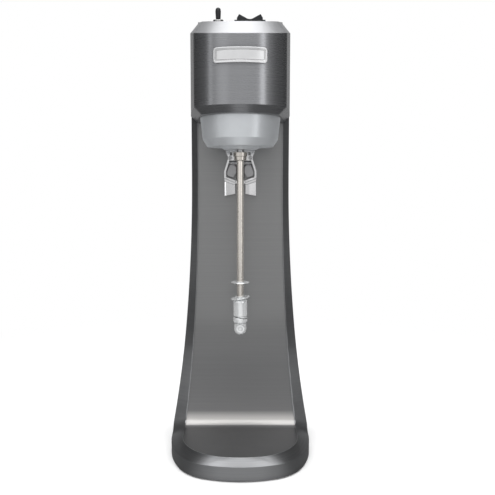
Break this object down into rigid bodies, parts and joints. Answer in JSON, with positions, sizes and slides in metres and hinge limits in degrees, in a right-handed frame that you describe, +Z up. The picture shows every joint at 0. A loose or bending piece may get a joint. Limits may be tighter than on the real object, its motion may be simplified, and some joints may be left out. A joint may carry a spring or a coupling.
{
  "type": "drink mixer",
  "caption": "Single-spindle milkshake mixer: a flared stand with a motor head, hanging agitator shaft and cup bracket with a start lever.",
  "frame": {"origin": "on the bench under the middle of the machine's bounding box", "axes": "+Z up, the front with the spindle faces -Y, +X to the right as seen from the front"},
  "size_m": [0.164, 0.1699, 0.5146],
  "materials": {
    "agitator_chrome": "polished",
    "badge_metal": "raised rim, plain face",
    "bearing_steel": "ground",
    "bell_metal": "silver blue satin",
    "black_plastic": "moulded",
    "black_rubber": "matt",
    "black_switch": "semi gloss",
    "board_green": "lacquered board",
    "bracket_chrome": "bright chrome plate",
    "brass_trim": "pressed brass",
    "brushed_head": "fine horizontal brushing",
    "carbon": "pressed carbon",
    "collar_metal": "polished, slightly worn",
    "copper_bars": "turned copper",
    "copper_wire": "varnished copper",
    "core_steel": "stacked laminations",
    "cream_plastic": "moulded",
    "grey_enamel": "satin grey enamel",
    "lever_plate": "pressed sheet",
    "roof_metal": "satin grey enamel",
    "satin_panel": "fine satin grain",
    "screw_steel": "plated",
    "shaft_nickel": "warm nickel plate",
    "spring_steel": "drawn wire",
    "toggle_nickel": "nickel plate",
    "zinc_plate": "zinc plated"
  },
  "bodies": {
    "stand": {"badge_plate": "badge_metal", "base_plate": "zinc_plate", "base_plate_screws": "screw_steel", "bracket_screws": "screw_steel", "brush_holders": "brass_trim", "brush_springs": "spring_steel", "cap_screws": "screw_steel", "carbon_brushes": "carbon", "cord_gland": "black_plastic", "cup_bracket": "bracket_chrome", "field_coils": "copper_wire", "gland_nut": "black_plastic", "housing_bolts": "screw_steel", "lever_pin": "bearing_steel", "lever_spring": "spring_steel", "lower_bearing_bell": "bell_metal", "lower_bearing_outer_race": "bearing_steel", "microswitch_body": "black_plastic", "microswitch_bracket": "zinc_plate", "microswitch_screws": "screw_steel", "motor_bolts": "screw_steel", "motor_housing": "brushed_head", "rear_cover": "grey_enamel", "rear_cover_screws": "screw_steel", "rocker_housing": "black_switch", "rubber_feet": "black_rubber", "speed_board": "board_green", "spindle_seal": "black_rubber", "splash_panel": "satin_panel", "stand_casting": "grey_enamel", "stator_core": "core_steel", "suppressor_capacitor": "cream_plastic", "terminal_block": "cream_plastic", "toggle_bushing": "toggle_nickel", "toggle_nut": "toggle_nickel", "toggle_switch_body": "black_plastic", "top_cap": "roof_metal", "upper_bearing_bridge": "bell_metal", "upper_bearing_outer_race": "bearing_steel"},
    "spindle": {"armature_shaft": "bearing_steel", "armature_core": "core_steel", "armature_windings": "copper_wire", "commutator": "copper_bars", "cooling_fan": "black_plastic", "lower_bearing_inner_race": "bearing_steel", "upper_bearing_inner_race": "bearing_steel", "bearing_balls": "bearing_steel", "spindle_collar": "collar_metal", "spindle_shaft": "shaft_nickel", "upper_disc": "agitator_chrome", "lower_disc": "agitator_chrome", "agitator_sleeve": "agitator_chrome", "agitator_ring": "agitator_chrome", "agitator_tip": "agitator_chrome", "agitator_screw": "agitator_chrome"},
    "toggle_arm": {"toggle_lever": "black_switch"},
    "rocker": {"rocker_paddle": "black_switch"},
    "cup_lever_body": {"cup_lever": "lever_plate"},
    "plunger": {"microswitch_plunger": "black_plastic"}
  },
  "joints": [
    {"name": "spindle_spin", "type": "hinge", "parent": "stand", "child": "spindle", "pos_m": [0, -0.01, 0.3], "axis": [0, 0, 1], "continuous": true},
    {"name": "toggle_flip", "type": "hinge", "parent": "stand", "child": "toggle_arm", "pos_m": [-0.0234, -0.03804, 0.48694], "axis": [1, 0, 0], "range_deg": [-14, 14]},
    {"name": "speed_rock", "type": "hinge", "parent": "stand", "child": "rocker", "pos_m": [0.01, -0.03804, 0.48694], "axis": [0, 0.9736, 0.2284], "range_deg": [-7, 7]},
    {"name": "cup_lever_swing", "type": "hinge", "parent": "stand", "child": "cup_lever_body", "pos_m": [0, 0.041, 0.343], "axis": [1, 0, 0], "range_deg": [0, 8], "stiffness_Nm_per_rad": 0.3},
    {"name": "microswitch_travel", "type": "slide", "parent": "stand", "child": "plunger", "axis": [0, 1, 0], "range_m": [0, 0.0026]}
  ],
  "couplings": [
    {"joint": "microswitch_travel", "follows": "cup_lever_swing", "m_per_rad": 0.0179}
  ]
}
